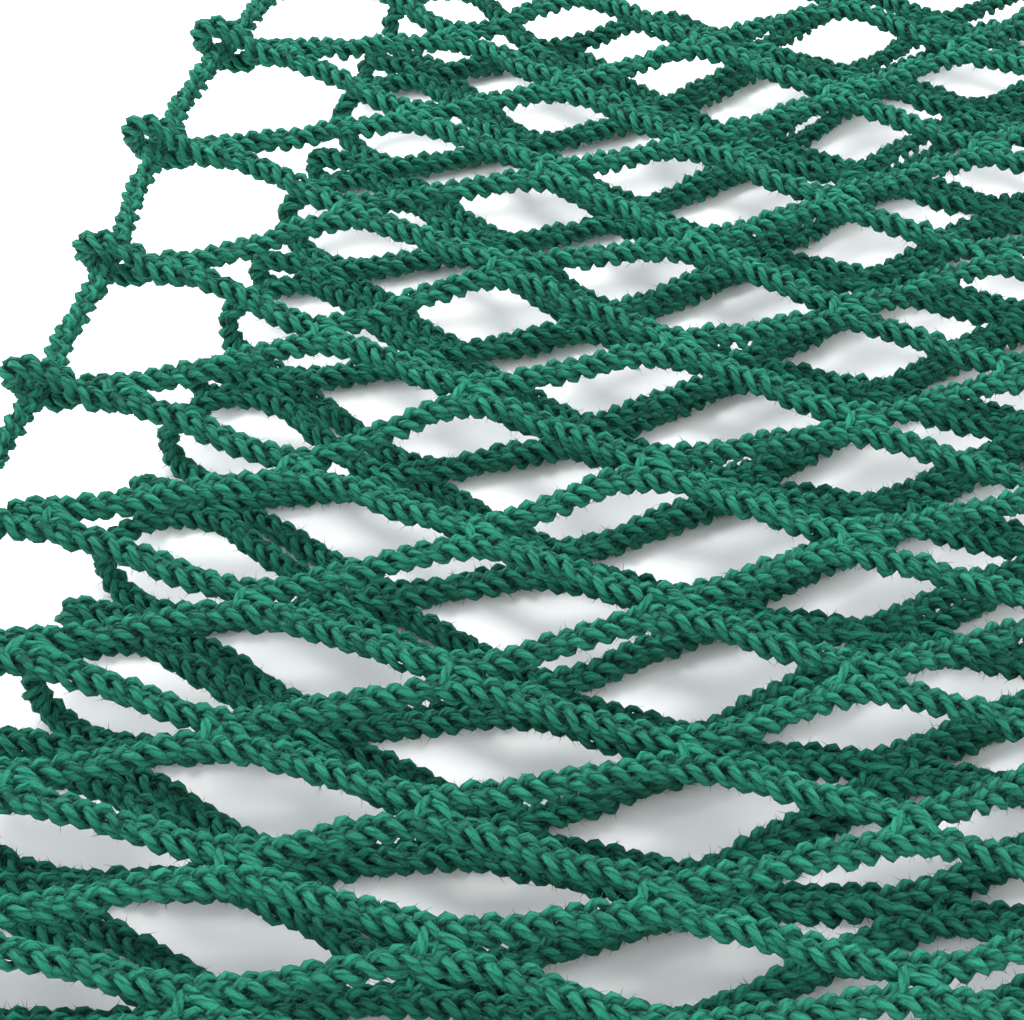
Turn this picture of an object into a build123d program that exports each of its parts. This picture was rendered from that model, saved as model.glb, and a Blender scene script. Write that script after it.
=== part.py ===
from build123d import *
import math
import os

# A cargo climbing net of knotless netting, lying folded in three layers like a concertina.
# Two rows of netting form one endless cord: it runs out along one row, turns round a border
# cord, and comes back along the next row. Millimetres, +Z up, and the origin is at the middle
# of the heap's underside. X runs along the rows and Y across them, from front to back.
# The top layer is a body of its own, which opens about the right-hand fold.

# Driving dimensions
CORD_D = 12.0  # netting and border cord
ROWS = 20  # rows of netting from front to back, an even number
BARS = 6  # bars in each layer, an even number
PITCH_FRONT = 24.0  # between the two rows at the front, where the meshes are drawn shut
PITCH_BACK = 46.0  # between the two rows at the back, where they stand open
JOINT_RUN = 24.0  # how far two cords lie side by side at a joint
JOINT_GAP = 0.4  # left between the two cords at a joint
LOWER_STEP = 22.0  # from the middle of the bottom layer up to the middle of the next
UPPER_STEP = 26.0  # from there up to the middle of the top layer
FOLD_GAP = 3.0  # left in each cord where it goes round a fold line
FOLD_REACH = 27.0  # from the last column of joints to where the fold begins

# The heap's plan, before it is moved so that the origin is at its middle
MIDDLE_X = 77.29
MIDDLE_Y = 48.81
Y_FRONT = -280.0  # first row
TOP_EDGE_X = -176.0  # border joints of the top layer, at Y = 0
TOP_EDGE_LEAN = 0.12
TOP_EDGE_BEND = 0.12
TOP_EDGE_SOFT = 60.0
RIGHT_FOLD_X = 290.0  # last joints of the top and middle layers, at Y = 0
RIGHT_LEAN = 0.04
LEFT_FOLD_X = -130.0  # last joints of the middle and bottom layers, at Y = 0
LEFT_LEAN = 0.25
BOTTOM_EDGE_X = 322.0  # border joints of the bottom layer, at Y = 0

# How unevenly the layers lie: ripples up and down, sways along the rows, swings across them
TOP_HUMPS = [(-40.0, 130.0, 170.0, 12.0), (90.0, -190.0, 110.0, 7.0)]  # x, y, reach, height
TOP_RIPPLE = 2.5
TOP_SWAY = 6.0
TOP_SWING = 6.0
TOP_WOBBLE = 4.0
TOP_EDGE_LIFT = 12.0  # of the border joints above the rest of the top layer
MIDDLE_RIPPLE = 3.0
MIDDLE_SWAY = 4.0
MIDDLE_SWING = 21.0
BOTTOM_SWAY = 3.0
BOTTOM_BACK = -12.0  # of the bottom layer's rows behind the middle layer's
BORDER_SLACK = 4.0  # of the border cords between their loops

# Loops round the border cords
LOOP_BASE = 24.0  # from a border joint to where its loop is fully open
LOOP_AXIS = 32.0  # from a border joint to the border cord
LOOP_TIP = 46.0  # from a border joint to the loop's corner
LOOP_RISE = 13.2  # of the loop above and below the border cord

# Ends of the border cords
TOP_TAIL = 92.0  # from the last loop to the throat of the end eye
BOTTOM_TAIL = 58.0
SHOULDER = 24.0  # from the last loop to where the border cord turns down to the floor
SHOULDER_DROP = 2.0
WHIPPING_LENGTH = 14.0
WHIPPING_WALL = 1.8
WHIPPING_GAP = 0.35
EYE_PITCH = 12.6  # between the two parts of the cord under the whipping
EYE_OUTLINE = [  # along the border cord and across it, from the throat
    (28.0, 0.0),
    (44.0, 13.0),
    (70.0, 13.0),
    (84.0, -6.3),
    (70.0, -25.6),
    (44.0, -25.6),
    (28.0, -EYE_PITCH),
    (2.0, -EYE_PITCH),
]

RADIUS = CORD_D / 2
HALF_JOINT = RADIUS + JOINT_GAP / 2
BEND_SHARE = 0.45  # of the shorter run that an arc takes up at each end
RIGHT_FOLD_R = UPPER_STEP / 2
LEFT_FOLD_R = LOWER_STEP / 2
FOLD_SHARE = 0.98
LOOP_SHARE = 0.49
LOOP_BASE_SHARE = 0.38
THROAT_SHARE = 0.3
BOTTOM_Z = RADIUS
MIDDLE_Z = BOTTOM_Z + LOWER_STEP
TOP_Z = MIDDLE_Z + UPPER_STEP
BOTTOM_EDGE_Z = LOOP_RISE + RADIUS + 0.2
LAST_COLUMN = 3 * BARS + 2


def row_y(i):
    """Y of row i: the gap between rows grows evenly from front to back."""
    growth = (PITCH_BACK - PITCH_FRONT) / (ROWS - 2)
    return Y_FRONT + PITCH_FRONT * i + growth * i * (i - 1) / 2


def line_y(k):
    """Y of the line of joints between rows k - 1 and k, or just outside the first or last row."""
    if k <= 0:
        return row_y(0) - PITCH_FRONT / 2
    if k >= ROWS:
        return row_y(ROWS - 1) + PITCH_BACK / 2
    return (row_y(k - 1) + row_y(k)) / 2


def top_edge_x(y):
    """X of the top layer's border joints: upright at the front and leaning back further on."""
    return TOP_EDGE_X + TOP_EDGE_LEAN * y + TOP_EDGE_BEND * math.hypot(y, TOP_EDGE_SOFT)


def right_fold_x(y):
    return RIGHT_FOLD_X + RIGHT_LEAN * y


def left_fold_x(y):
    return LEFT_FOLD_X + LEFT_LEAN * y


def bottom_edge_x(y):
    return BOTTOM_EDGE_X + RIGHT_LEAN * y


def mix(a, b, share):
    return a + (b - a) * share


def humps(x, y):
    """Height of the top layer's low round humps."""
    return sum(
        height * math.exp(-((x - x0) ** 2 + (y - y0) ** 2) / reach**2)
        for x0, y0, reach, height in TOP_HUMPS
    )


def top_point(k, j):
    """The top layer, which rises in two low humps and lies unevenly, most of all at the back."""
    y = line_y(k)
    x = mix(top_edge_x(y), right_fold_x(y), j / BARS)
    loose = min(max((BARS - j) / 2, 0), 1)
    x -= TOP_SWAY * math.sin(0.9 * k + 1.7 * j) * loose
    ripple = TOP_RIPPLE * (1 + math.sin(x / 45 + y / 60))
    z = TOP_Z + loose * (humps(x, y) + ripple) + TOP_EDGE_LIFT * max(1 - j, 0)
    y += TOP_SWING * math.sin(1.05 * j + 0.4) + TOP_WOBBLE * math.sin(0.8 * j + 0.5 * k)
    return Vector(x, y, z)


def middle_point(k, j):
    """The middle layer, whose rows swing to and fro."""
    y = line_y(k)
    step = j - BARS - 1
    x = mix(right_fold_x(y), left_fold_x(y), step / BARS)
    loose = min(max(step, 0), max(BARS - step, 0), 1)
    x += MIDDLE_SWAY * math.sin(0.7 * k + 1.3 * j) * loose
    ripple = MIDDLE_RIPPLE * math.sin(x / 50 + y / 70)
    z = MIDDLE_Z + ripple * math.sin(math.pi * step / BARS)
    y += MIDDLE_SWING * math.sin(math.tau * step / BARS + 0.7)
    return Vector(x, y, z)


def bottom_point(k, j):
    """The bottom layer, which swings as the middle one does, and rises to its border cord."""
    y = line_y(k)
    step = j - 2 * BARS - 2
    x = mix(left_fold_x(y), bottom_edge_x(y), step / BARS)
    loose = min(max(step, 0), max(BARS - step, 0), 1)
    x += BOTTOM_SWAY * math.sin(1.1 * k + 1.9 * j) * loose
    y += MIDDLE_SWING * math.sin(math.tau * (BARS - step) / BARS + 0.7) + BOTTOM_BACK
    rise = min(max(2 * (step - BARS) + 1, 0), 1)
    return Vector(x, y, mix(BOTTOM_Z, BOTTOM_EDGE_Z, rise))


def net_point(k, j):
    """A point on line of joints k at column j, counted on through the three layers."""
    if j < BARS + 0.5:
        point = top_point(k, j)
    elif j < 2 * BARS + 1.5:
        point = middle_point(k, j)
    else:
        point = bottom_point(k, j)
    return point - Vector(MIDDLE_X, MIDDLE_Y, 0)


def joint_line(i, j):
    """The line of joints that row i touches at column j."""
    return i + 1 if (i + j) % 2 == 0 else i


def flat_across(along):
    """The level direction across a cord that points towards the back."""
    across = Vector(-along.Y, along.X, 0).normalized()
    return across if across.Y > 0 else across * -1


def joint_frame(k, j):
    """Middle, direction along the rows and direction across them of joint k, j."""
    along = (net_point(k, j + 0.4) - net_point(k, j - 0.4)).normalized()
    return net_point(k, j), along, flat_across(along)


def joint_run(i, j):
    """The two ends of row i's straight run through its joint at column j."""
    k = joint_line(i, j)
    middle, along, across = joint_frame(k, j)
    side = -1 if k == i + 1 else 1
    centre = middle + across * (side * HALF_JOINT)
    half = along * (JOINT_RUN / 2)
    return [(centre - half, BEND_SHARE), (centre + half, BEND_SHARE)]


def fold_corner(i, j, z):
    """The corner of row i where it goes round the fold after column j, at height z."""
    before = net_point(joint_line(i, j), j)
    after = net_point(joint_line(i, j + 1), j + 1)
    y = (before.Y + after.Y) / 2 + MIDDLE_Y
    if j == BARS:
        start, lean, way, reach = right_fold_x(y) + FOLD_REACH, RIGHT_LEAN, 1, RIGHT_FOLD_R
    else:
        start, lean, way, reach = left_fold_x(y) - FOLD_REACH, LEFT_LEAN, -1, LEFT_FOLD_R
    out = Vector(way, -way * lean, 0).normalized()
    return Vector(start - MIDDLE_X, y - MIDDLE_Y, z) + out * reach


def right_fold_end(i, z):
    """Row i's way into the right-hand fold, up to the cut that parts the two bodies."""
    corner = fold_corner(i, BARS, z)
    middle_z = (TOP_Z + MIDDLE_Z) / 2
    cut_z = middle_z + math.copysign(FOLD_GAP / 2, z - middle_z)
    return [(corner, FOLD_SHARE), (Vector(corner.X, corner.Y, cut_z), 0)]


def left_fold(i):
    """Row i's way round the left-hand fold, which isn't cut."""
    j = 2 * BARS + 1
    return [(fold_corner(i, j, MIDDLE_Z), LOOP_SHARE), (fold_corner(i, j, BOTTOM_Z), LOOP_SHARE)]


def row_points(i, columns):
    return [point for j in columns for point in joint_run(i, j)]


def loop_frame(k, j):
    """Border joint, outward direction and border direction of the loop at joint k, j."""
    y = line_y(k)
    if j == 0:
        lean = (top_edge_x(y + 1) - top_edge_x(y - 1)) / 2
        way = -1
    else:
        lean = RIGHT_LEAN
        way = 1
    out = Vector(way, -way * lean, 0).normalized()
    border = Vector(lean, 1, 0).normalized()
    return net_point(k, j), out, border


def loop_points(k, j):
    """The loop round the border cord, from the front row's end to the back row's end."""
    centre, out, border = loop_frame(k, j)
    rise = Vector(0, 0, LOOP_RISE)
    side = border * HALF_JOINT
    return [
        (centre + out * LOOP_BASE - side + rise, LOOP_BASE_SHARE),
        (centre + out * LOOP_TIP - side + rise, LOOP_SHARE),
        (centre + out * LOOP_TIP + side - rise, LOOP_SHARE),
        (centre + out * LOOP_BASE + side - rise, LOOP_BASE_SHARE),
    ]


def top_route(m):
    """Rows 2m and 2m + 1 of the top layer, joined by their loop at the border."""
    rows = [row_points(i, range(BARS + 1)) + right_fold_end(i, TOP_Z) for i in (2 * m, 2 * m + 1)]
    return rows[0][::-1] + loop_points(2 * m + 1, 0) + rows[1]


def lower_row(i):
    """Row i from the right-hand fold to the left-hand one and on to the bottom border."""
    middle = row_points(i, range(BARS + 1, 2 * BARS + 2))
    bottom = row_points(i, range(2 * BARS + 2, LAST_COLUMN + 1))
    return right_fold_end(i, MIDDLE_Z)[::-1] + middle + left_fold(i) + bottom


def lower_route(m):
    """Rows 2m and 2m + 1 of the two lower layers, joined by their loop at the border."""
    return lower_row(2 * m) + loop_points(2 * m + 1, LAST_COLUMN) + lower_row(2 * m + 1)[::-1]


def eye_frame(last, before, tail, floor_z):
    """Throat, direction along and direction across of the eye at one end of a border cord."""
    along = Vector(last.X - before.X, last.Y - before.Y, 0).normalized()
    throat = last + along * tail
    throat.Z = floor_z
    return throat, along, Vector(-along.Y, along.X, 0)


def eye_points(last, frame):
    """From the last loop over the shoulder, down to the throat and round the eye."""
    throat, along, across = frame
    shoulder = last + along * SHOULDER - Vector(0, 0, SHOULDER_DROP)
    points = [(shoulder, BEND_SHARE), (throat, THROAT_SHARE)]
    for reach, side in EYE_OUTLINE:
        points.append((throat + along * reach + across * side, BEND_SHARE))
    return points


def border_knots(j):
    """Where the border cord at column j passes through its loops, and slack between them."""
    points = []
    for m in range(ROWS // 2):
        centre, out, border = loop_frame(2 * m + 1, j)
        here = centre + out * LOOP_AXIS
        if points:
            slack = (points[-1] + here) * 0.5 + out * BORDER_SLACK
            points.append(slack)
        points.append(here)
    return points


def border_frames(knots, tail, floor_z):
    """The frames of the front eye and the back eye."""
    ends = ((knots[0], knots[2]), (knots[-1], knots[-3]))
    return [eye_frame(last, before, tail, floor_z) for last, before in ends]


def border_route(knots, frames):
    front = eye_points(knots[0], frames[0])
    middle = [(point, BEND_SHARE) for point in knots]
    return front[::-1] + middle + eye_points(knots[-1], frames[1])


def bend_radii(route):
    """Radius of the arc at each inner point, from the shorter run and half the turn."""
    radii = []
    for (a, _), (b, share), (c, _) in zip(route, route[1:], route[2:]):
        run = min((b - a).length, (c - b).length)
        turn = math.radians((b - a).get_angle(c - b))
        radii.append(share * run / math.tan(turn / 2))
    return radii


def cord(name, route):
    """A round cord along straight runs joined by tangent arcs."""
    radii = bend_radii(route)
    path = FilletPolyline(*[point for point, _ in route], radius=radii)
    start = Plane(origin=path @ 0, z_dir=path % 0)
    solid = sweep(start * Circle(RADIUS), path=path)
    expected = math.pi * RADIUS**2 * path.length
    print(
        name,
        "length", round(path.length),
        "smallest radius", round(min(radii), 1),
        "volume share", round(solid.volume / expected, 4),
    )
    return solid


def whipping(frame):
    """A flat oval sleeve of twine that holds the two parts of the cord side by side."""
    throat, along, across = frame
    height = CORD_D + 2 * WHIPPING_GAP
    width = height + EYE_PITCH
    middle = throat + along * (EYE_OUTLINE[0][0] / 2) - across * (EYE_PITCH / 2)
    outer = SlotOverall(width + 2 * WHIPPING_WALL, height + 2 * WHIPPING_WALL)
    inner = SlotOverall(width, height)
    plane = Plane(origin=middle, x_dir=across, z_dir=along)
    return extrude(plane * (outer - inner), amount=WHIPPING_LENGTH / 2, both=True)


def save(name, shape):
    export_step(shape, f"parts/{name}.step")


def main():
    os.makedirs("parts", exist_ok=True)
    for m in range(ROWS // 2):
        for layer, route in (("top", top_route(m)), ("lower", lower_route(m))):
            name = f"{layer}_cord_{m + 1:02d}"
            save(name, cord(name, route))
    eye_z = RADIUS + WHIPPING_GAP + WHIPPING_WALL
    borders = (("top", 0, TOP_TAIL, eye_z + 1), ("bottom", LAST_COLUMN, BOTTOM_TAIL, eye_z))
    for layer, column, tail, floor_z in borders:
        knots = border_knots(column)
        frames = border_frames(knots, tail, floor_z)
        name = f"{layer}_border_cord"
        save(name, cord(name, border_route(knots, frames)))
        sleeves = [whipping(frame) for frame in frames]
        save(f"{layer}_border_whippings", Compound(children=sleeves))


if __name__ == "__main__":
    main()
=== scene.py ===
"""A folded cargo climbing net: plaited cords, stitches at their joints, border cords, whippings."""

import math

import bpy
import numpy as np
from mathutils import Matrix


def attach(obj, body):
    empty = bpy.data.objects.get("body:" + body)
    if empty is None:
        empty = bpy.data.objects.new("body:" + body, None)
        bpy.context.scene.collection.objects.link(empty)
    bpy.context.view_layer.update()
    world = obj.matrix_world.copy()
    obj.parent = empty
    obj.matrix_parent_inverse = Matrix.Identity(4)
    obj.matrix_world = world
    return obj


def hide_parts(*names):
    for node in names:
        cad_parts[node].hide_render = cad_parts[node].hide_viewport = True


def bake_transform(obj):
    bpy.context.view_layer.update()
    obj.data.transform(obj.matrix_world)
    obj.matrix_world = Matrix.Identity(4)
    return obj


bl_info = {
    "name": "Climbing Net",
    "version": (1, 0, 0),
    "blender": (4, 5, 0),
    "location": "3D View > Sidebar > Climbing Net",
    "description": "Makes a folded climbing net of plaited cord around its frame",
    "category": "Object",
}

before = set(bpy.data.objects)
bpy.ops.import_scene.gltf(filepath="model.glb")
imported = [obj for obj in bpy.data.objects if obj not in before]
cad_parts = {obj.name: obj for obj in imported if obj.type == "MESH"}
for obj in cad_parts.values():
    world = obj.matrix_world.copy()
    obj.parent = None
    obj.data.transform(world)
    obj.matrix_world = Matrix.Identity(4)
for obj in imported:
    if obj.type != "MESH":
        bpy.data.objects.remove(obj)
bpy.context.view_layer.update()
LOWER = "lower_layers"
TOP = "top_layer"

# The net's plan, in metres: rows run along X, and lie one behind the other along Y
ROWS = 20
BARS = 6
PITCH_FRONT = 0.024
PITCH_BACK = 0.046
CORD_R = 0.006
JOINT_RUN = 0.024
JOINT_HALF = 0.0054  # the plaits of a joint lie a little into each other
MIDDLE_X = 0.07729
MIDDLE_Y = 0.04881
Y_FRONT = -0.280
TOP_EDGE_X = -0.176
TOP_EDGE_LEAN = 0.12
TOP_EDGE_BEND = 0.12
TOP_EDGE_SOFT = 0.060
RIGHT_FOLD_X = 0.290
RIGHT_LEAN = 0.04
LEFT_FOLD_X = -0.130
LEFT_LEAN = 0.25
BOTTOM_EDGE_X = 0.322
FOLD_REACH = 0.027
RIGHT_FOLD_R = 0.013
LEFT_FOLD_R = 0.011
BOTTOM_Z = 0.006
MIDDLE_Z = 0.028
TOP_Z = 0.054
BOTTOM_EDGE_Z = 0.0194
LAST_COLUMN = 3 * BARS + 2

# How unevenly the layers lie
TOP_HUMPS = [(-0.040, 0.130, 0.170, 0.012), (0.090, -0.190, 0.110, 0.007)]  # x, y, reach, height
TOP_RIPPLE = 0.0025
TOP_SWAY = 0.006
TOP_SWING = 0.006
TOP_WOBBLE = 0.004
TOP_EDGE_LIFT = 0.012
MIDDLE_RIPPLE = 0.003
MIDDLE_SWAY = 0.004
MIDDLE_SWING = 0.021
BOTTOM_SWAY = 0.003
BOTTOM_BACK = -0.012
BORDER_SLACK = 0.004

# Loops round the border cords, and the cords' end eyes
LOOP_BASE = 0.024
LOOP_AXIS = 0.032
LOOP_TIP = 0.046
LOOP_RISE = 0.0132
TOP_TAIL = 0.092
BOTTOM_TAIL = 0.058
SHOULDER = 0.024
SHOULDER_DROP = 0.002
EYE_Z = 0.00815
EYE_PITCH = 0.0126
EYE_OUTLINE = [
    (0.028, 0.0),
    (0.044, 0.013),
    (0.070, 0.013),
    (0.084, -0.0063),
    (0.070, -0.0256),
    (0.044, -0.0256),
    (0.028, -EYE_PITCH),
    (0.002, -EYE_PITCH),
]
WHIPPING_LENGTH = 0.014

# The plait of a cord, and its yarns
STRANDS = 3
YARNS = 2
SIDES = 5
RING_STEP = 0.00176
WEAVE_ACROSS = 0.22  # of a strand from side to side, over the cord's diameter
WEAVE_HEIGHT = 0.19
WEAVE_WANDER = 0.06  # how much a plait's width comes and goes, as a share
WEAVE_WANDERS = 37  # times along a cord
STRAND_TURN = 0.37  # turns by which each strand's yarns are ahead of the last one's
YARN_SPREAD = 0.85  # of a strand's yarns from its middle, over a yarn's radius
YARN_UNEVEN = 0.09
YARN_SWELL = 0.07  # how much a yarn thickens and thins, as a share
SWELL_RATE = 310  # radians a metre
SWELL_SHIFT = 2.1  # radians from one yarn to the next
YARN_STRAY = 0.0003  # how far a yarn strays from its even path
STRAY_LENGTHS = (0.013, 0.034)
YARN_GRAIN = 3.0  # between the grain coordinates of two yarns
PLIES = 3
PLY_TURN = 0.014  # length in which a yarn's plies turn once
CAP_SHADE_DEPTH = 0.6  # the depth attribute at a tube's end, where it sets the painted shade

# Loose fibre ends
FIBRE_OUTSIDE = 0.25  # least share of outward direction where a fibre may start
FIBRE_OUT = (0.45, 1.2)
FIBRE_ALONG = (0.3, 1.2)
FIBRE_ASIDE = 0.5
FIBRE_LENGTH = (0.0014, 0.0042)
FIBRE_SUNK = 0.0002
FIBRE_R = 0.00014
FIBRE_GRAIN = 100
FIBRE_TINT = 0.6
# Above one, so that the painted shade of the plait's hollows leaves the fibres at the lit colour
FIBRE_SHADE_DEPTH = 1.1

# Strands that change over at a joint: which face, which slant, and place along the joint
STITCHES = ((1, 1, -0.006), (1, -1, 0.004), (-1, 1, 0.0))
STITCH_RINGS = 9
STITCH_YARNS = 2
STITCH_FOOT = -0.0008
STITCH_ARCH = 0.0024
STITCH_SHAPE = 0.6  # power of the sine that an arch follows
STITCH_ACROSS = 0.0100
STITCH_ALONG = 0.012
STITCH_REACH = (0.2, 1.1)
STITCH_STRAY = 0.002

# The whippings' twine
TWINE_R = 0.0007
TWINE_STEP = 2.05  # from turn to turn, over its radius
TWINE_RINGS = 40  # a turn
TWINE_LIFT = 0.0009  # of its middle from the cord
TWINE_FLAT = 0.8  # power that squares the oval section a little
TWINE_SIDE = 3  # how soon a turn crosses from one part of the cord to the other
TWINE_GRAIN = 0.003

# The view
VIEW_ELEVATION = math.radians(47)
VIEW_HALF_ANGLE = math.radians(15.8)
VIEW_WIDTH = 0.410
VIEW_SHIFT = (0.0, -0.015, 0.0)

UP = np.array([0.0, 0.0, 1.0])
BACK = np.array([0.0, 1.0, 0.0])


# The route of each cord

def vec(x, y, z):
    return np.array([x, y, z], float)


def unit(v):
    return v / np.linalg.norm(v, axis=-1, keepdims=True)


def dot(a, b):
    return np.sum(a * b, axis=-1, keepdims=True)


def mix(a, b, share):
    return a + (b - a) * share


def row_y(i):
    """Y of row i: the gap between rows grows evenly from front to back."""
    growth = (PITCH_BACK - PITCH_FRONT) / (ROWS - 2)
    return Y_FRONT + PITCH_FRONT * i + growth * i * (i - 1) / 2


def line_y(k):
    """Y of the line of joints between rows k - 1 and k, or just outside the first or last row."""
    if k <= 0:
        return row_y(0) - PITCH_FRONT / 2
    if k >= ROWS:
        return row_y(ROWS - 1) + PITCH_BACK / 2
    return (row_y(k - 1) + row_y(k)) / 2


def top_edge_x(y):
    return TOP_EDGE_X + TOP_EDGE_LEAN * y + TOP_EDGE_BEND * math.hypot(y, TOP_EDGE_SOFT)


def right_fold_x(y):
    return RIGHT_FOLD_X + RIGHT_LEAN * y


def left_fold_x(y):
    return LEFT_FOLD_X + LEFT_LEAN * y


def humps(x, y):
    """Low round humps, each its height times e to the minus square of distance over reach."""
    return sum(
        height * math.exp(-((x - x0) ** 2 + (y - y0) ** 2) / reach**2)
        for x0, y0, reach, height in TOP_HUMPS
    )


def top_point(k, j):
    """The top layer, which rises in two low humps and ripples between its border and its fold."""
    y = line_y(k)
    x = mix(top_edge_x(y), right_fold_x(y), j / BARS)
    loose = min(max((BARS - j) / 2, 0), 1)
    x -= TOP_SWAY * math.sin(0.9 * k + 1.7 * j) * loose
    ripple = TOP_RIPPLE * (1 + math.sin(x / 0.045 + y / 0.060))
    z = TOP_Z + loose * (humps(x, y) + ripple) + TOP_EDGE_LIFT * max(1 - j, 0)
    y += TOP_SWING * math.sin(1.05 * j + 0.4) + TOP_WOBBLE * math.sin(0.8 * j + 0.5 * k)
    return vec(x, y, z)


def middle_point(k, j):
    """The middle layer, whose rows swing to and fro."""
    y = line_y(k)
    step = j - BARS - 1
    x = mix(right_fold_x(y), left_fold_x(y), step / BARS)
    loose = min(max(step, 0), max(BARS - step, 0), 1)
    x += MIDDLE_SWAY * math.sin(0.7 * k + 1.3 * j) * loose
    ripple = MIDDLE_RIPPLE * math.sin(x / 0.050 + y / 0.070)
    z = MIDDLE_Z + ripple * math.sin(math.pi * step / BARS)
    y += MIDDLE_SWING * math.sin(math.tau * step / BARS + 0.7)
    return vec(x, y, z)


def bottom_point(k, j):
    """The bottom layer, which swings as the middle one does, and rises to its border cord."""
    y = line_y(k)
    step = j - 2 * BARS - 2
    x = mix(left_fold_x(y), BOTTOM_EDGE_X + RIGHT_LEAN * y, step / BARS)
    loose = min(max(step, 0), max(BARS - step, 0), 1)
    x += BOTTOM_SWAY * math.sin(1.1 * k + 1.9 * j) * loose
    y += MIDDLE_SWING * math.sin(math.tau * (BARS - step) / BARS + 0.7) + BOTTOM_BACK
    rise = min(max(2 * (step - BARS) + 1, 0), 1)
    return vec(x, y, mix(BOTTOM_Z, BOTTOM_EDGE_Z, rise))


def net_point(k, j):
    """A point on line of joints k at column j, counted on through the three layers."""
    if j < BARS + 0.5:
        point = top_point(k, j)
    elif j < 2 * BARS + 1.5:
        point = middle_point(k, j)
    else:
        point = bottom_point(k, j)
    return point - vec(MIDDLE_X, MIDDLE_Y, 0)


def joint_line(i, j):
    """The line of joints that row i touches at column j."""
    return i + 1 if (i + j) % 2 == 0 else i


def joint_frame(k, j):
    """Middle, direction along the rows and level direction across them of joint k, j."""
    along = unit(net_point(k, j + 0.4) - net_point(k, j - 0.4))
    across = unit(vec(-along[1], along[0], 0))
    return net_point(k, j), along, across if across[1] > 0 else -across


def joint_run(i, j):
    """The two ends of row i's run through its joint at column j."""
    k = joint_line(i, j)
    middle, along, across = joint_frame(k, j)
    side = -1 if k == i + 1 else 1
    centre = middle + across * side * JOINT_HALF
    half = along * JOINT_RUN / 2
    return [centre - half, centre + half]


def fold_corner(i, j, z):
    """The corner of row i where it goes round the fold after column j, at height z."""
    before = net_point(joint_line(i, j), j)
    after = net_point(joint_line(i, j + 1), j + 1)
    y = (before[1] + after[1]) / 2 + MIDDLE_Y
    if j == BARS:
        start, lean, way, reach = right_fold_x(y) + FOLD_REACH, RIGHT_LEAN, 1, RIGHT_FOLD_R
    else:
        start, lean, way, reach = left_fold_x(y) - FOLD_REACH, LEFT_LEAN, -1, LEFT_FOLD_R
    out = unit(vec(way, -way * lean, 0))
    return vec(start - MIDDLE_X, y - MIDDLE_Y, z) + out * reach


def row_route(i):
    """Row i from the top border over the right fold and the left fold to the bottom border."""
    points = []
    for j in range(LAST_COLUMN + 1):
        points += joint_run(i, j)
        if j == BARS:
            points += [fold_corner(i, j, TOP_Z), fold_corner(i, j, MIDDLE_Z)]
        if j == 2 * BARS + 1:
            points += [fold_corner(i, j, MIDDLE_Z), fold_corner(i, j, BOTTOM_Z)]
    return points


def loop_frame(k, j):
    """Border joint, outward direction and border direction of the loop at joint k, j."""
    y = line_y(k)
    if j == 0:
        small = 0.001
        lean = (top_edge_x(y + small) - top_edge_x(y - small)) / (2 * small)
        way = -1
    else:
        lean = RIGHT_LEAN
        way = 1
    return net_point(k, j), unit(vec(way, -way * lean, 0)), unit(vec(lean, 1, 0))


def loop_points(k, j):
    """The loop round the border cord, from the front row's end to the back row's end."""
    centre, out, border = loop_frame(k, j)
    side = border * JOINT_HALF
    rise = UP * LOOP_RISE
    return [
        centre + out * LOOP_BASE - side + rise,
        centre + out * LOOP_TIP - side + rise,
        centre + out * LOOP_TIP + side - rise,
        centre + out * LOOP_BASE + side - rise,
    ]


def endless_route(m):
    """Rows 2m and 2m + 1, joined by a loop at each border into one endless cord."""
    k = 2 * m + 1
    out_row = row_route(2 * m)
    back_row = row_route(k)[::-1]
    return out_row + loop_points(k, LAST_COLUMN) + back_row + loop_points(k, 0)[::-1]


def border_knots(j):
    """Where the border cord at column j passes through its loops, and slack between them."""
    points = []
    for m in range(ROWS // 2):
        centre, out, _ = loop_frame(2 * m + 1, j)
        here = centre + out * LOOP_AXIS
        if points:
            points.append((points[-1] + here) / 2 + out * BORDER_SLACK)
        points.append(here)
    return points


def eye_frame(last, before, tail, floor_z):
    """Throat, direction along and direction across of the eye at one end of a border cord."""
    along = unit((last - before) * vec(1, 1, 0))
    throat = last + along * tail
    throat[2] = floor_z
    return throat, along, vec(-along[1], along[0], 0)


def border_frames(knots, tail, floor_z):
    ends = ((knots[0], knots[2]), (knots[-1], knots[-3]))
    return [eye_frame(last, before, tail, floor_z) for last, before in ends]


def eye_points(last, place):
    """From the last loop over the shoulder, down to the throat and round the eye."""
    throat, along, across = place
    points = [last + along * SHOULDER - UP * SHOULDER_DROP, throat]
    return points + [throat + along * reach + across * side for reach, side in EYE_OUTLINE]


def border_route(knots, frames):
    front = eye_points(knots[0], frames[0])
    return front[::-1] + knots + eye_points(knots[-1], frames[1])


# Lines, frames along them, and tubes

def smooth_line(points, closed):
    """Points of the NURBS curve that has these control points, from Blender's own evaluation."""
    data = bpy.data.curves.new("route", "CURVE")
    data.dimensions = "3D"
    data.resolution_u = 16
    spline = data.splines.new("NURBS")
    spline.points.add(len(points) - 1)
    spline.points.foreach_set("co", np.column_stack([points, np.ones(len(points))]).ravel())
    spline.order_u = 3
    spline.use_cyclic_u = closed
    spline.use_endpoint_u = not closed
    curve = bpy.data.objects.new("route", data)
    line = bpy.data.meshes.new_from_object(curve)
    co = np.zeros(len(line.vertices) * 3)
    line.vertices.foreach_get("co", co)
    bpy.data.objects.remove(curve)
    bpy.data.curves.remove(data)
    bpy.data.meshes.remove(line)
    return co.reshape(-1, 3)


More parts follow.
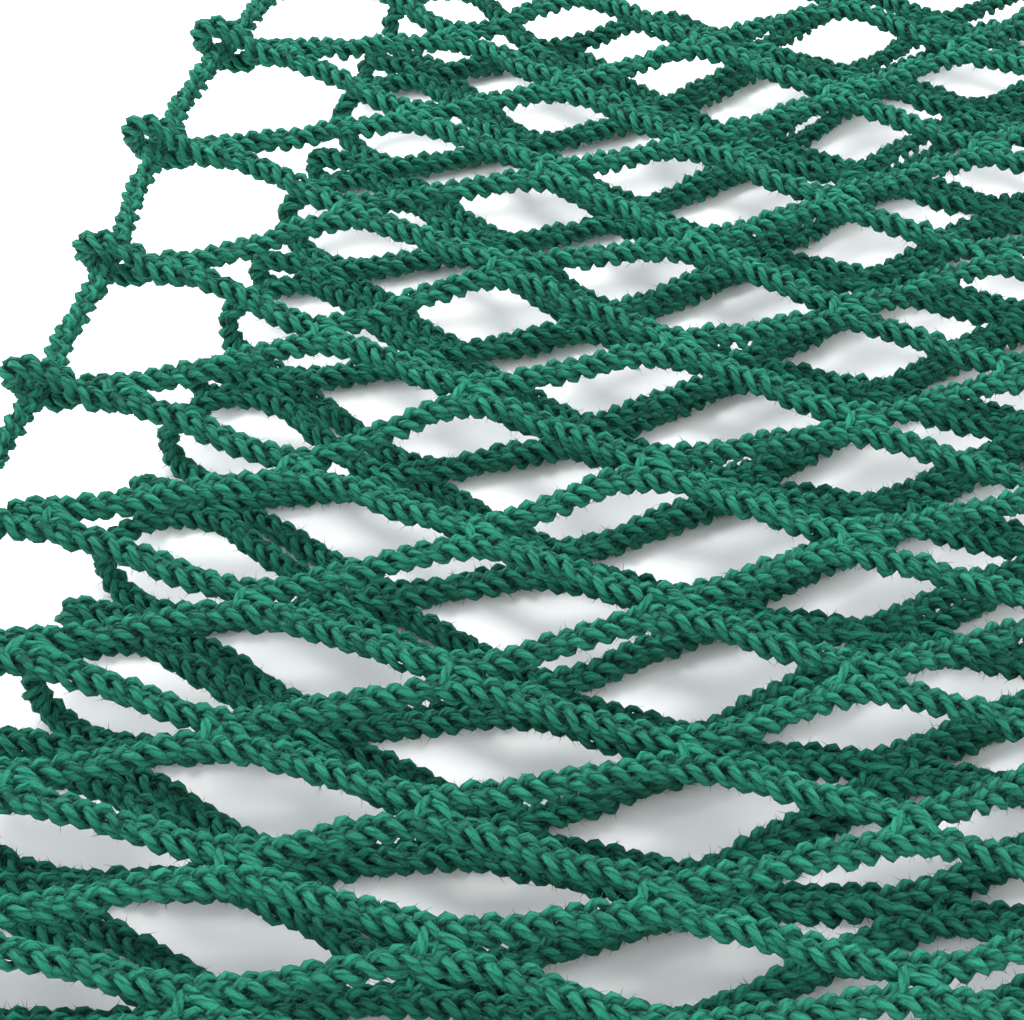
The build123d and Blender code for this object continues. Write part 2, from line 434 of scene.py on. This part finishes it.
def even_line(line, closed, step):
    """The same line at even distances: linear interpolation over its running length."""
    if closed:
        line = np.vstack([line, line[:1]])
    run = np.concatenate([[0], np.cumsum(np.linalg.norm(np.diff(line, axis=0), axis=1))])
    count = int(round(run[-1] / step))
    at = np.linspace(0, run[-1], count, endpoint=not closed)
    points = np.column_stack([np.interp(at, run, line[:, axis]) for axis in range(3)])
    return points, at, run[-1]


def slope(lines, closed):
    """Unit tangents by central differences along the second-last axis."""
    if closed:
        return unit(np.roll(lines, -1, axis=-2) - np.roll(lines, 1, axis=-2))
    return unit(np.gradient(lines, axis=-2))


def across_frame(tangent, reference):
    """The reference made square to the tangent, and the third direction square to both."""
    first = unit(reference - dot(reference, tangent) * tangent)
    return first, np.cross(tangent, first)


def grid_faces(rings, sides, closed, first):
    """Quads of a tube's grid, wound so that they face outwards."""
    ring = np.arange(rings if closed else rings - 1)[:, None]
    side = np.arange(sides)[None, :]
    ahead = (ring + 1) % rings
    turn = (side + 1) % sides
    quads = [ring * sides + side, ring * sides + turn, ahead * sides + turn, ahead * sides + side]
    return np.stack(quads, axis=-1).reshape(-1, 4) + first


def cap_faces(rings, sides, first, start_pole, end_pole):
    """Triangle fans that close the two ends of a tube's grid onto their poles."""
    side = np.arange(sides)
    turn = (side + 1) % sides
    last = first + (rings - 1) * sides
    start = np.stack([np.full(sides, start_pole), first + turn, first + side], axis=-1)
    end = np.stack([np.full(sides, end_pole), last + side, last + turn], axis=-1)
    return np.vstack([start, end])


class Parts:
    """Vertices, faces and attributes of one mesh, gathered piece by piece."""

    def __init__(self):
        self.points, self.grain, self.tint, self.shade_depth = [], [], [], []
        self.quads, self.triangles = [], []
        self.count = 0

    def add(self, points, grain, tint, shade_depth):
        first = self.count
        self.points.append(points)
        self.grain.append(grain)
        self.tint.append(np.broadcast_to(tint, len(points)))
        self.shade_depth.append(np.broadcast_to(shade_depth, len(points)))
        self.count += len(points)
        return first

    def mesh(self, name, material):
        """A mesh of everything gathered, smooth-shaded, with its attributes."""
        quads = np.vstack(self.quads) if self.quads else np.zeros((0, 4), int)
        triangles = np.vstack(self.triangles) if self.triangles else np.zeros((0, 3), int)
        corners = np.concatenate([quads.ravel(), triangles.ravel()])
        starts = np.concatenate([
            np.arange(len(quads)) * 4,
            len(quads) * 4 + np.arange(len(triangles)) * 3,
        ])
        mesh = bpy.data.meshes.new(name)
        mesh.vertices.add(self.count)
        mesh.vertices.foreach_set("co", np.vstack(self.points).ravel())
        mesh.loops.add(len(corners))
        mesh.loops.foreach_set("vertex_index", corners)
        mesh.polygons.add(len(starts))
        mesh.polygons.foreach_set("loop_start", starts)
        mesh.polygons.foreach_set("use_smooth", np.ones(len(starts), bool))
        mesh.update(calc_edges=True)
        grain = mesh.attributes.new("grain", "FLOAT_VECTOR", "POINT")
        grain.data.foreach_set("vector", np.vstack(self.grain).ravel())
        for label, values in (("tint", self.tint), ("shade_depth", self.shade_depth)):
            mesh.attributes.new(label, "FLOAT", "POINT").data.foreach_set(
                "value", np.concatenate(values))
        mesh.materials.append(material)
        piece = bpy.data.objects.new(name, mesh)
        bpy.context.scene.collection.objects.link(piece)
        return piece


def add_tubes(parts, lines, reference, radius, closed, run, tints, rng, axis_line=None, reach=1.0):
    """Round tubes along several lines: each ring is centre + radius (cos a, sin a) in its frame.

    The radius varies a little from point to point, as the thickness of spun yarn does.
    The depth attribute is a vertex's distance from axis_line over reach, so that it is small
    in the hollows of a plait and near one on its outside. The material paints shade into the
    hollows from it.
    """
    tangent = slope(lines, closed)
    first, second = across_frame(tangent, reference)
    angle = np.linspace(0, math.tau, SIDES, endpoint=False)
    spread = first[..., None, :] * np.cos(angle)[:, None]
    spread = spread + second[..., None, :] * np.sin(angle)[:, None]
    width = np.broadcast_to(np.asarray(radius, float), lines.shape[:2])[..., None]
    width = width * (1 + YARN_UNEVEN * rng.standard_normal((*lines.shape[:2], SIDES)))
    rings = lines[..., None, :] + width[..., None] * spread
    count, length = lines.shape[:2]
    for n in range(count):
        points = rings[n].reshape(-1, 3)
        grain = np.empty((length, SIDES, 3))
        grain[..., 0] = np.cos(angle) + YARN_GRAIN * n
        grain[..., 1] = np.sin(angle)
        grain[..., 2] = (run / RING_STEP)[:, None]
        if axis_line is None:
            shade_depth = np.ones(len(points))
        else:
            away = np.linalg.norm(rings[n] - axis_line[:, None, :], axis=-1)
            shade_depth = (away / reach).ravel()
        start = parts.add(points, grain.reshape(-1, 3), tints[n], shade_depth)
        parts.quads.append(grid_faces(length, SIDES, closed, start))
        if not closed:
            ends = lines[n][[0, -1]]
            poles = parts.add(ends, grain[[0, -1], 0], tints[n], CAP_SHADE_DEPTH)
            parts.triangles.append(cap_faces(length, SIDES, start, poles, poles + 1))
    return rings, tangent


def plait(parts, line, reference, closed, settings, rng):
    """A three-strand plait along a line, each strand made of two twisted yarns.

    A strand weaves in a flat figure of eight: across = a sin p and height = b sin 2p, where p
    grows by one turn in each pitch and the strands are a third of a turn apart. Its yarns are
    half a turn apart on a small circle that turns once in each twist, and each of them strays
    from there by the sum of two slow sines in each direction.
    """
    diameter = settings.cord_diameter
    centre, run, length = even_line(line, closed, RING_STEP)
    tangent = slope(centre, closed)
    across, height = across_frame(tangent, reference)
    waves = round(length / settings.plait_pitch)
    twists = round(length / settings.yarn_twist)
    wander = 1 + WEAVE_WANDER * np.sin(
        math.tau * run / length * WEAVE_WANDERS + rng.uniform(0, math.tau))
    lines, tints = [], []
    for strand in range(STRANDS):
        phase = math.tau * (waves * run / length + strand / STRANDS)
        middle = centre + across * (WEAVE_ACROSS * diameter * wander * np.sin(phase))[:, None]
        middle = middle + height * (WEAVE_HEIGHT * diameter * np.sin(2 * phase))[:, None]
        shade = rng.uniform(-1, 1)
        for yarn in range(YARNS):
            turn = math.tau * (twists * run / length + yarn / YARNS + STRAND_TURN * strand)
            offset = across * np.cos(turn)[:, None] + height * np.sin(turn)[:, None]
            stray = [
                np.sin(math.tau * (run * rate / length + rng.uniform()))[:, None]
                for rate in np.round(length / rng.uniform(*STRAY_LENGTHS, 4))
            ]
            offset = offset * settings.yarn_radius * YARN_SPREAD
            aside = across * (stray[0] + stray[1]) + height * (stray[2] + stray[3])
            lines.append(middle + offset + aside * YARN_STRAY)
            tints.append(0.5 * shade + 0.5 * rng.uniform(-1, 1))
    lines = np.array(lines)
    swell = 1 + YARN_SWELL * np.sin(run * SWELL_RATE + np.arange(len(lines))[:, None] * SWELL_SHIFT)
    rings, yarn_tangent = add_tubes(
        parts, lines, height, settings.yarn_radius * swell, closed, run, tints, rng,
        centre, diameter / 2)
    add_fibres(parts, rings, lines, yarn_tangent, centre, length, settings, rng)


def add_fibres(parts, rings, lines, tangent, centre, length, settings, rng):
    """Loose fibre ends: thin three-sided spikes that leave the outside of the yarns at a slant.

    A spike's direction is a random mix of outwards, along the yarn and aside. Those that would
    reach below the floor are left out.
    """
    count = int(length * settings.fibres_per_metre)
    yarn = rng.integers(0, rings.shape[0], count)
    ring = rng.integers(0, rings.shape[1], count)
    side = rng.integers(0, rings.shape[2], count)
    foot = rings[yarn, ring, side]
    out = unit(foot - lines[yarn, ring])
    away = unit(foot - centre[ring])
    outside = dot(out, away)[:, 0] > FIBRE_OUTSIDE
    foot, out, along = foot[outside], out[outside], tangent[yarn, ring][outside]
    count = len(foot)
    way = rng.choice([-1.0, 1.0], (count, 1))
    side_way = np.cross(along, out)
    lean = out * rng.uniform(*FIBRE_OUT, (count, 1))
    lean = lean + along * way * rng.uniform(*FIBRE_ALONG, (count, 1))
    lean = unit(lean + side_way * rng.normal(0, FIBRE_ASIDE, (count, 1)))
    tip = foot + lean * rng.uniform(*FIBRE_LENGTH, (count, 1))
    clear = tip[:, 2] > 0
    foot, out, along, lean, tip = foot[clear], out[clear], along[clear], lean[clear], tip[clear]
    count = len(foot)
    root = foot - out * FIBRE_SUNK
    first, second = across_frame(lean, out + along * 0.1)
    corners = [
        root + FIBRE_R * (first * math.cos(angle) + second * math.sin(angle))
        for angle in (0, math.tau / 3, 2 * math.tau / 3)
    ]
    points = np.stack(corners + [tip], axis=1).reshape(-1, 3)
    start = parts.add(points, points * FIBRE_GRAIN, FIBRE_TINT, FIBRE_SHADE_DEPTH)
    base = start + np.arange(count)[:, None] * 4
    faces = [(0, 2, 1), (0, 1, 3), (1, 2, 3), (2, 0, 3)]
    parts.triangles.append(np.vstack([base + np.array(face) for face in faces]))


# Materials

def cord_material(name, lit, shade):
    """Matt spun yarn, as a sum of parts that runs from the painted shade colour of the hollows to
    the lit colour.

    The parts are the depth in the plait, which paints shade into its hollows, streaks along each
    yarn, its plies, whose grooves get painted shade, fine speckle, each yarn's tint and broad
    patches. A yarn's plies are the absolute sine of half their number times the angle round the
    yarn plus a steady climb along it.
    """
    material = bpy.data.materials.new(name)
    material.use_nodes = True
    nodes, links = material.node_tree.nodes, material.node_tree.links
    nodes.clear()
    output = nodes.new("ShaderNodeOutputMaterial")
    shader = nodes.new("ShaderNodeBsdfPrincipled")
    shader.inputs["Roughness"].default_value = 0.88
    shader.inputs["Specular IOR Level"].default_value = 0.15
    shader.inputs["Sheen Weight"].default_value = 0.12
    shader.inputs["Sheen Roughness"].default_value = 0.45
    shader.inputs["Sheen Tint"].default_value = (0.25, 0.8, 0.58, 1)
    links.new(shader.outputs["BSDF"], output.inputs["Surface"])

    def attribute(label, socket):
        node = nodes.new("ShaderNodeAttribute")
        node.attribute_name = label
        return node.outputs[socket]

    def noise(vector, scale, detail):
        node = nodes.new("ShaderNodeTexNoise")
        node.inputs["Scale"].default_value = scale
        node.inputs["Detail"].default_value = detail
        links.new(vector, node.inputs["Vector"])
        return node.outputs["Fac"]

    def map_range(value, low, high):
        node = nodes.new("ShaderNodeMapRange")
        node.interpolation_type = "SMOOTHSTEP"
        node.inputs["From Min"].default_value = low
        node.inputs["From Max"].default_value = high
        links.new(value, node.inputs["Value"])
        return node.outputs["Result"]

    def math_node(operation, a, b=0.0):
        node = nodes.new("ShaderNodeMath")
        node.operation = operation
        for socket, value in zip(node.inputs, (a, b)):
            if isinstance(value, (int, float)):
                socket.default_value = value
            else:
                links.new(value, socket)
        return node.outputs[0]

    def weighted(*terms):
        total = math_node("MULTIPLY", *terms[0])
        for term in terms[1:]:
            total = math_node("ADD", total, math_node("MULTIPLY", *term))
        return total

    grain = attribute("grain", "Vector")
    stretch = nodes.new("ShaderNodeMapping")
    stretch.inputs["Scale"].default_value = (1.0, 1.0, 0.2)
    links.new(grain, stretch.inputs["Vector"])
    split = nodes.new("ShaderNodeSeparateXYZ")
    links.new(grain, split.inputs["Vector"])
    # A yarn's plies: in the colour their grooves get painted shade, in the bump they are relief
    number = math_node("ROUND", math_node("DIVIDE", split.outputs["X"], YARN_GRAIN))
    side = math_node("SUBTRACT", split.outputs["X"], math_node("MULTIPLY", number, YARN_GRAIN))
    turn = math_node("MULTIPLY", math_node("ARCTAN2", split.outputs["Y"], side), PLIES / 2)
    climb = math_node("MULTIPLY", split.outputs["Z"], math.pi * PLIES * RING_STEP / PLY_TURN)
    plies = math_node("ABSOLUTE", math_node("SINE", math_node("ADD", turn, climb)))
    plies = map_range(plies, 0.0, 0.8)
    streaks = map_range(noise(stretch.outputs["Vector"], 2.1, 5), 0.34, 0.66)
    place = nodes.new("ShaderNodeTexCoord").outputs["Object"]
    patches = noise(place, 14, 2)
    speckle = noise(place, 1200, 4)
    # Painted shade: the colour darkens towards the hollows of the plait, nearer the cord's middle
    outside = map_range(attribute("shade_depth", "Fac"), 0.35, 1.0)

    tint = attribute("tint", "Fac")
    # The outside term is painted shade in the plait's hollows, the plies term painted shade in the
    # ply grooves; streaks, speckle, tint and patches are the yarn's own tone
    light = weighted(
        (outside, 0.5), (streaks, 0.22), (plies, 0.26), (speckle, 0.6), (tint, 0.1), (patches, 0.3))
    light = math_node("SUBTRACT", light, 0.60)
    ramp = nodes.new("ShaderNodeValToRGB")
    ramp.color_ramp.elements[0].color = (*shade, 1)
    ramp.color_ramp.elements[1].color = (*lit, 1)
    links.new(light, ramp.inputs["Fac"])
    links.new(ramp.outputs["Color"], shader.inputs["Base Color"])

    height = weighted((streaks, 0.5), (speckle, 1.0), (plies, 1.1))
    bump = nodes.new("ShaderNodeBump")
    bump.inputs["Strength"].default_value = 1.0
    bump.inputs["Distance"].default_value = 0.0009
    links.new(height, bump.inputs["Height"])
    links.new(bump.outputs["Normal"], shader.inputs["Normal"])
    return material


def floor_material(colour):
    """Smooth matt paper with faint broad mottling."""
    material = bpy.data.materials.new("pale_paper")
    material.use_nodes = True
    nodes, links = material.node_tree.nodes, material.node_tree.links
    shader = nodes["Principled BSDF"]
    shader.inputs["Roughness"].default_value = 0.8
    shader.inputs["Specular IOR Level"].default_value = 0.2
    noise = nodes.new("ShaderNodeTexNoise")
    noise.inputs["Scale"].default_value = 3
    ramp = nodes.new("ShaderNodeValToRGB")
    ramp.color_ramp.elements[0].color = (*[c * 0.97 for c in colour], 1)
    ramp.color_ramp.elements[1].color = (*colour, 1)
    links.new(nodes.new("ShaderNodeTexCoord").outputs["Object"], noise.inputs["Vector"])
    links.new(noise.outputs["Fac"], ramp.inputs["Fac"])
    links.new(ramp.outputs["Color"], shader.inputs["Base Color"])
    return material


def shared_material(name, make, *values):
    found = bpy.data.materials.get(name)
    return found if found else make(name, *values)


# Settings, and one operator for each group of pieces

class NetSettings(bpy.types.PropertyGroup):
    """Sizes and colours of the net's cords."""

    cord_diameter: bpy.props.FloatProperty(
        name="Cord diameter", description="Across the plait of every cord",
        default=2 * CORD_R, min=0.004, max=0.03, unit="LENGTH")
    plait_pitch: bpy.props.FloatProperty(
        name="Plait pitch", description="Length in which a strand weaves out and back once",
        default=0.021, min=0.01, max=0.1, unit="LENGTH")
    yarn_twist: bpy.props.FloatProperty(
        name="Yarn twist", description="Length in which the yarns of a strand turn once",
        default=0.030, min=0.005, max=0.1, unit="LENGTH")
    yarn_radius: bpy.props.FloatProperty(
        name="Yarn radius", description="Radius of one yarn of a strand",
        default=0.00185, min=0.0005, max=0.004, unit="LENGTH")
    fibres_per_metre: bpy.props.FloatProperty(
        name="Fibres per metre", description="Loose fibre ends along each metre of cord",
        default=4900, min=0, max=9000)
    cord_lit: bpy.props.FloatVectorProperty(
        name="Cord colour", description="Colour on the outside of the yarns",
        default=(0.019, 0.250, 0.160), size=3, min=0, max=1, subtype="COLOR")
    # The dark end of the yarn colour: painted shade in the plait's hollows and ply grooves, and the
    # darker parts of the streaks and speckle
    cord_shade: bpy.props.FloatVectorProperty(
        name="Painted shade colour", description="Painted shade in the hollows between the yarns",
        default=(0.001, 0.020, 0.013), size=3, min=0, max=1, subtype="COLOR")
    whipping_lit: bpy.props.FloatVectorProperty(
        name="Whipping colour", description="Colour of the twine on the border cords' ends",
        default=(0.009, 0.12, 0.07), size=3, min=0, max=1, subtype="COLOR")
    floor_colour: bpy.props.FloatVectorProperty(
        name="Floor colour", description="Colour of the plain floor",
        default=(0.93, 0.935, 0.94), size=3, min=0, max=1, subtype="COLOR")


class AddNetCords(bpy.types.Operator):
    """Makes the endless cords of the netting, two rows to a cord."""

    bl_idname = "climbing_net.add_net_cords"
    bl_label = "Add net cords"

    def execute(self, context):
        settings = context.scene.climbing_net
        material = shared_material(
            "plaited_net_yarn", cord_material, settings.cord_lit, settings.cord_shade)
        for m in range(ROWS // 2):
            number = f"{m + 1:02d}"
            parts = Parts()
            line = smooth_line(endless_route(m), closed=True)
            plait(parts, line, BACK, True, settings, np.random.default_rng(m))
            piece = parts.mesh(f"net_cord_{number}", material)
            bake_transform(piece)
            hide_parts(f"top_cord_{number}", f"lower_cord_{number}")
        return {"FINISHED"}


def add_joint_stitches(parts, k, j, settings, rng):
    """Strands that change over between the two cords of a joint, two above it and one below.

    A strand runs from one cord to the other: across = -h to h and along = -g to g, with
    height = foot + a low arch, and both of its ends lie inside the cords.
    """
    middle, along, across = joint_frame(k, j)
    up = np.cross(along, across)
    share = np.linspace(0, 1, STITCH_RINGS)
    rise = STITCH_FOOT + STITCH_ARCH * np.sin(math.pi * share) ** STITCH_SHAPE
    for face, slant, place in STITCHES:
        shift = (place + rng.normal(0, STITCH_STRAY)) * along
        reach = STITCH_ALONG * rng.uniform(*STITCH_REACH) * slant
        middle_line = (
            middle + shift
            + np.outer((share - 0.5) * STITCH_ACROSS, across)
            + np.outer((share - 0.5) * reach, along)
            + np.outer(rise * face, up)
        )
        side_way = unit(along * STITCH_ACROSS - across * reach)
        lines = []
        for yarn in range(STITCH_YARNS):
            angle = math.pi * share + math.tau * yarn / STITCH_YARNS
            offset = np.outer(np.cos(angle), side_way) + np.outer(np.sin(angle), up)
            lines.append(middle_line + offset * settings.yarn_radius)
        tints = rng.uniform(-1, 1, STITCH_YARNS)
        add_tubes(
            parts, np.array(lines), up, settings.yarn_radius, False, share * STITCH_ACROSS,
            tints, rng)


class AddJointStitches(bpy.types.Operator):
    """Makes the strands that change over between the two cords at every joint."""

    bl_idname = "climbing_net.add_joint_stitches"
    bl_label = "Add joint stitches"

    def execute(self, context):
        settings = context.scene.climbing_net
        material = shared_material(
            "plaited_net_yarn", cord_material, settings.cord_lit, settings.cord_shade)
        layers = ((TOP, range(BARS + 1)), (LOWER, range(BARS + 1, LAST_COLUMN + 1)))
        for body, columns in layers:
            rng = np.random.default_rng(100 + len(columns))
            parts = Parts()
            for j in columns:
                for k in range(1, ROWS):
                    if (k + j) % 2 == 1:
                        add_joint_stitches(parts, k, j, settings, rng)
            piece = parts.mesh(f"{body}_joint_stitches", material)
            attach(piece, body)
        return {"FINISHED"}


BORDERS = (
    ("top", TOP, 0, TOP_TAIL, EYE_Z + 0.001),
    ("bottom", LOWER, LAST_COLUMN, BOTTOM_TAIL, EYE_Z),
)


class AddBorderCords(bpy.types.Operator):
    """Makes the two border cords, which run through the netting's loops and end in eyes."""

    bl_idname = "climbing_net.add_border_cords"
    bl_label = "Add border cords"

    def execute(self, context):
        settings = context.scene.climbing_net
        material = shared_material(
            "plaited_border_yarn", cord_material, settings.cord_lit, settings.cord_shade)
        for seed, (layer, body, column, tail, floor_z) in enumerate(BORDERS):
            knots = border_knots(column)
            route = border_route(knots, border_frames(knots, tail, floor_z))
            parts = Parts()
            line = smooth_line(route, closed=False)
            plait(parts, line, UP, False, settings, np.random.default_rng(200 + seed))
            piece = parts.mesh(f"{layer}_border_plait", material)
            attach(piece, body)
            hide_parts(f"{layer}_border_cord")
        return {"FINISHED"}


def whipping_line(place, settings):
    """A helix round the two parts of a cord: an oval section that moves on by one twine a turn."""
    throat, along, across = place
    middle = throat + along * EYE_OUTLINE[0][0] / 2 - across * EYE_PITCH / 2
    turns = int(WHIPPING_LENGTH / (TWINE_STEP * TWINE_R))
    angle = np.linspace(0, math.tau * turns, turns * TWINE_RINGS)
    round_part = settings.cord_diameter / 2 + TWINE_LIFT
    wide = np.cos(angle) * round_part
    wide = wide + np.clip(np.cos(angle) * TWINE_SIDE, -1, 1) * EYE_PITCH / 2
    high = np.sign(np.sin(angle)) * np.abs(np.sin(angle)) ** TWINE_FLAT * round_part
    on = (angle / angle[-1] - 0.5) * WHIPPING_LENGTH
    line = middle + np.outer(wide, across) + np.outer(high, UP) + np.outer(on, along)
    return line, along, angle


class AddWhippings(bpy.types.Operator):
    """Makes the wound twine that closes each border cord's eye."""

    bl_idname = "climbing_net.add_whippings"
    bl_label = "Add whippings"

    def execute(self, context):
        settings = context.scene.climbing_net
        material = shared_material(
            "whipping_twine", cord_material, settings.whipping_lit, settings.cord_shade)
        for layer, body, column, tail, floor_z in BORDERS:
            parts = Parts()
            rng = np.random.default_rng(300)
            for place in border_frames(border_knots(column), tail, floor_z):
                line, along, angle = whipping_line(place, settings)
                add_tubes(parts, line[None], along, TWINE_R, False, angle * TWINE_GRAIN, [0.2], rng)
            piece = parts.mesh(f"{layer}_whippings_wound", material)
            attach(piece, body)
            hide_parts(f"{layer}_border_whippings")
        return {"FINISHED"}


def aim(piece, target):
    """Turns a lamp or camera so that its -Z axis points at the target."""
    way = target - np.array(piece.location)
    flat = math.hypot(way[0], way[1])
    piece.rotation_euler = (math.atan2(flat, -way[2]), 0, math.atan2(way[1], way[0]) - math.pi / 2)


def area_light(name, place, target, size, power):
    data = bpy.data.lights.new(name, "AREA")
    data.shape = "DISK"
    data.size = size
    data.energy = power
    light = bpy.data.objects.new(name, data)
    light.location = place
    bpy.context.scene.collection.objects.link(light)
    aim(light, np.array(target))


class AddStage(bpy.types.Operator):
    """Makes the floor, the soft lights and the camera."""

    bl_idname = "climbing_net.add_stage"
    bl_label = "Add stage"

    def execute(self, context):
        settings = context.scene.climbing_net
        scene = context.scene
        floor = bpy.data.meshes.new("floor")
        reach = 6.0
        corners = [(-reach, -reach, 0), (reach, -reach, 0), (reach, reach, 0), (-reach, reach, 0)]
        floor.from_pydata(corners, [], [(0, 1, 2, 3)])
        floor.materials.append(floor_material(settings.floor_colour))
        piece = bpy.data.objects.new("floor", floor)
        scene.collection.objects.link(piece)

        world = bpy.data.worlds.new("soft_sky")
        world.use_nodes = True
        world.node_tree.nodes["Background"].inputs["Color"].default_value = (0.97, 0.985, 1, 1)
        world.node_tree.nodes["Background"].inputs["Strength"].default_value = 1.75
        scene.world = world
        scene.view_settings.view_transform = "Standard"
        area_light("key_light", (-0.5, 1.0, 1.5), (0, 0, 0), 0.9, 34)
        area_light("fill_light", (0.9, -1.2, 1.3), (0, 0, 0), 1.4, 9)

        data = bpy.data.cameras.new("camera")
        camera = bpy.data.objects.new("camera", data)
        scene.collection.objects.link(camera)
        data.lens = data.sensor_width / 2 / math.tan(VIEW_HALF_ANGLE)
        data.clip_end = 30
        target = vec(-MIDDLE_X, -MIDDLE_Y, TOP_Z) + vec(*VIEW_SHIFT)
        way = vec(0, -math.cos(VIEW_ELEVATION), math.sin(VIEW_ELEVATION))
        camera.location = target + way * VIEW_WIDTH / 2 / math.tan(VIEW_HALF_ANGLE)
        aim(camera, target)
        scene.camera = camera
        return {"FINISHED"}


OPERATORS = (AddNetCords, AddJointStitches, AddBorderCords, AddWhippings, AddStage)


class NetPanel(bpy.types.Panel):
    """The net's settings and its operators."""

    bl_idname = "VIEW3D_PT_climbing_net"
    bl_label = "Climbing Net"
    bl_space_type = "VIEW_3D"
    bl_region_type = "UI"
    bl_category = "Climbing Net"

    def draw(self, context):
        for name in NetSettings.__annotations__:
            self.layout.prop(context.scene.climbing_net, name)
        for operator in OPERATORS:
            self.layout.operator(operator.bl_idname)


CLASSES = (NetSettings, *OPERATORS, NetPanel)


def register():
    for item in CLASSES:
        bpy.utils.register_class(item)
    bpy.types.Scene.climbing_net = bpy.props.PointerProperty(type=NetSettings)


def unregister():
    del bpy.types.Scene.climbing_net
    for item in reversed(CLASSES):
        bpy.utils.unregister_class(item)


def main():
    register()
    bpy.ops.climbing_net.add_net_cords()
    bpy.ops.climbing_net.add_joint_stitches()
    bpy.ops.climbing_net.add_border_cords()
    bpy.ops.climbing_net.add_whippings()
    bpy.ops.climbing_net.add_stage()


if __name__ == "__main__":
    main()
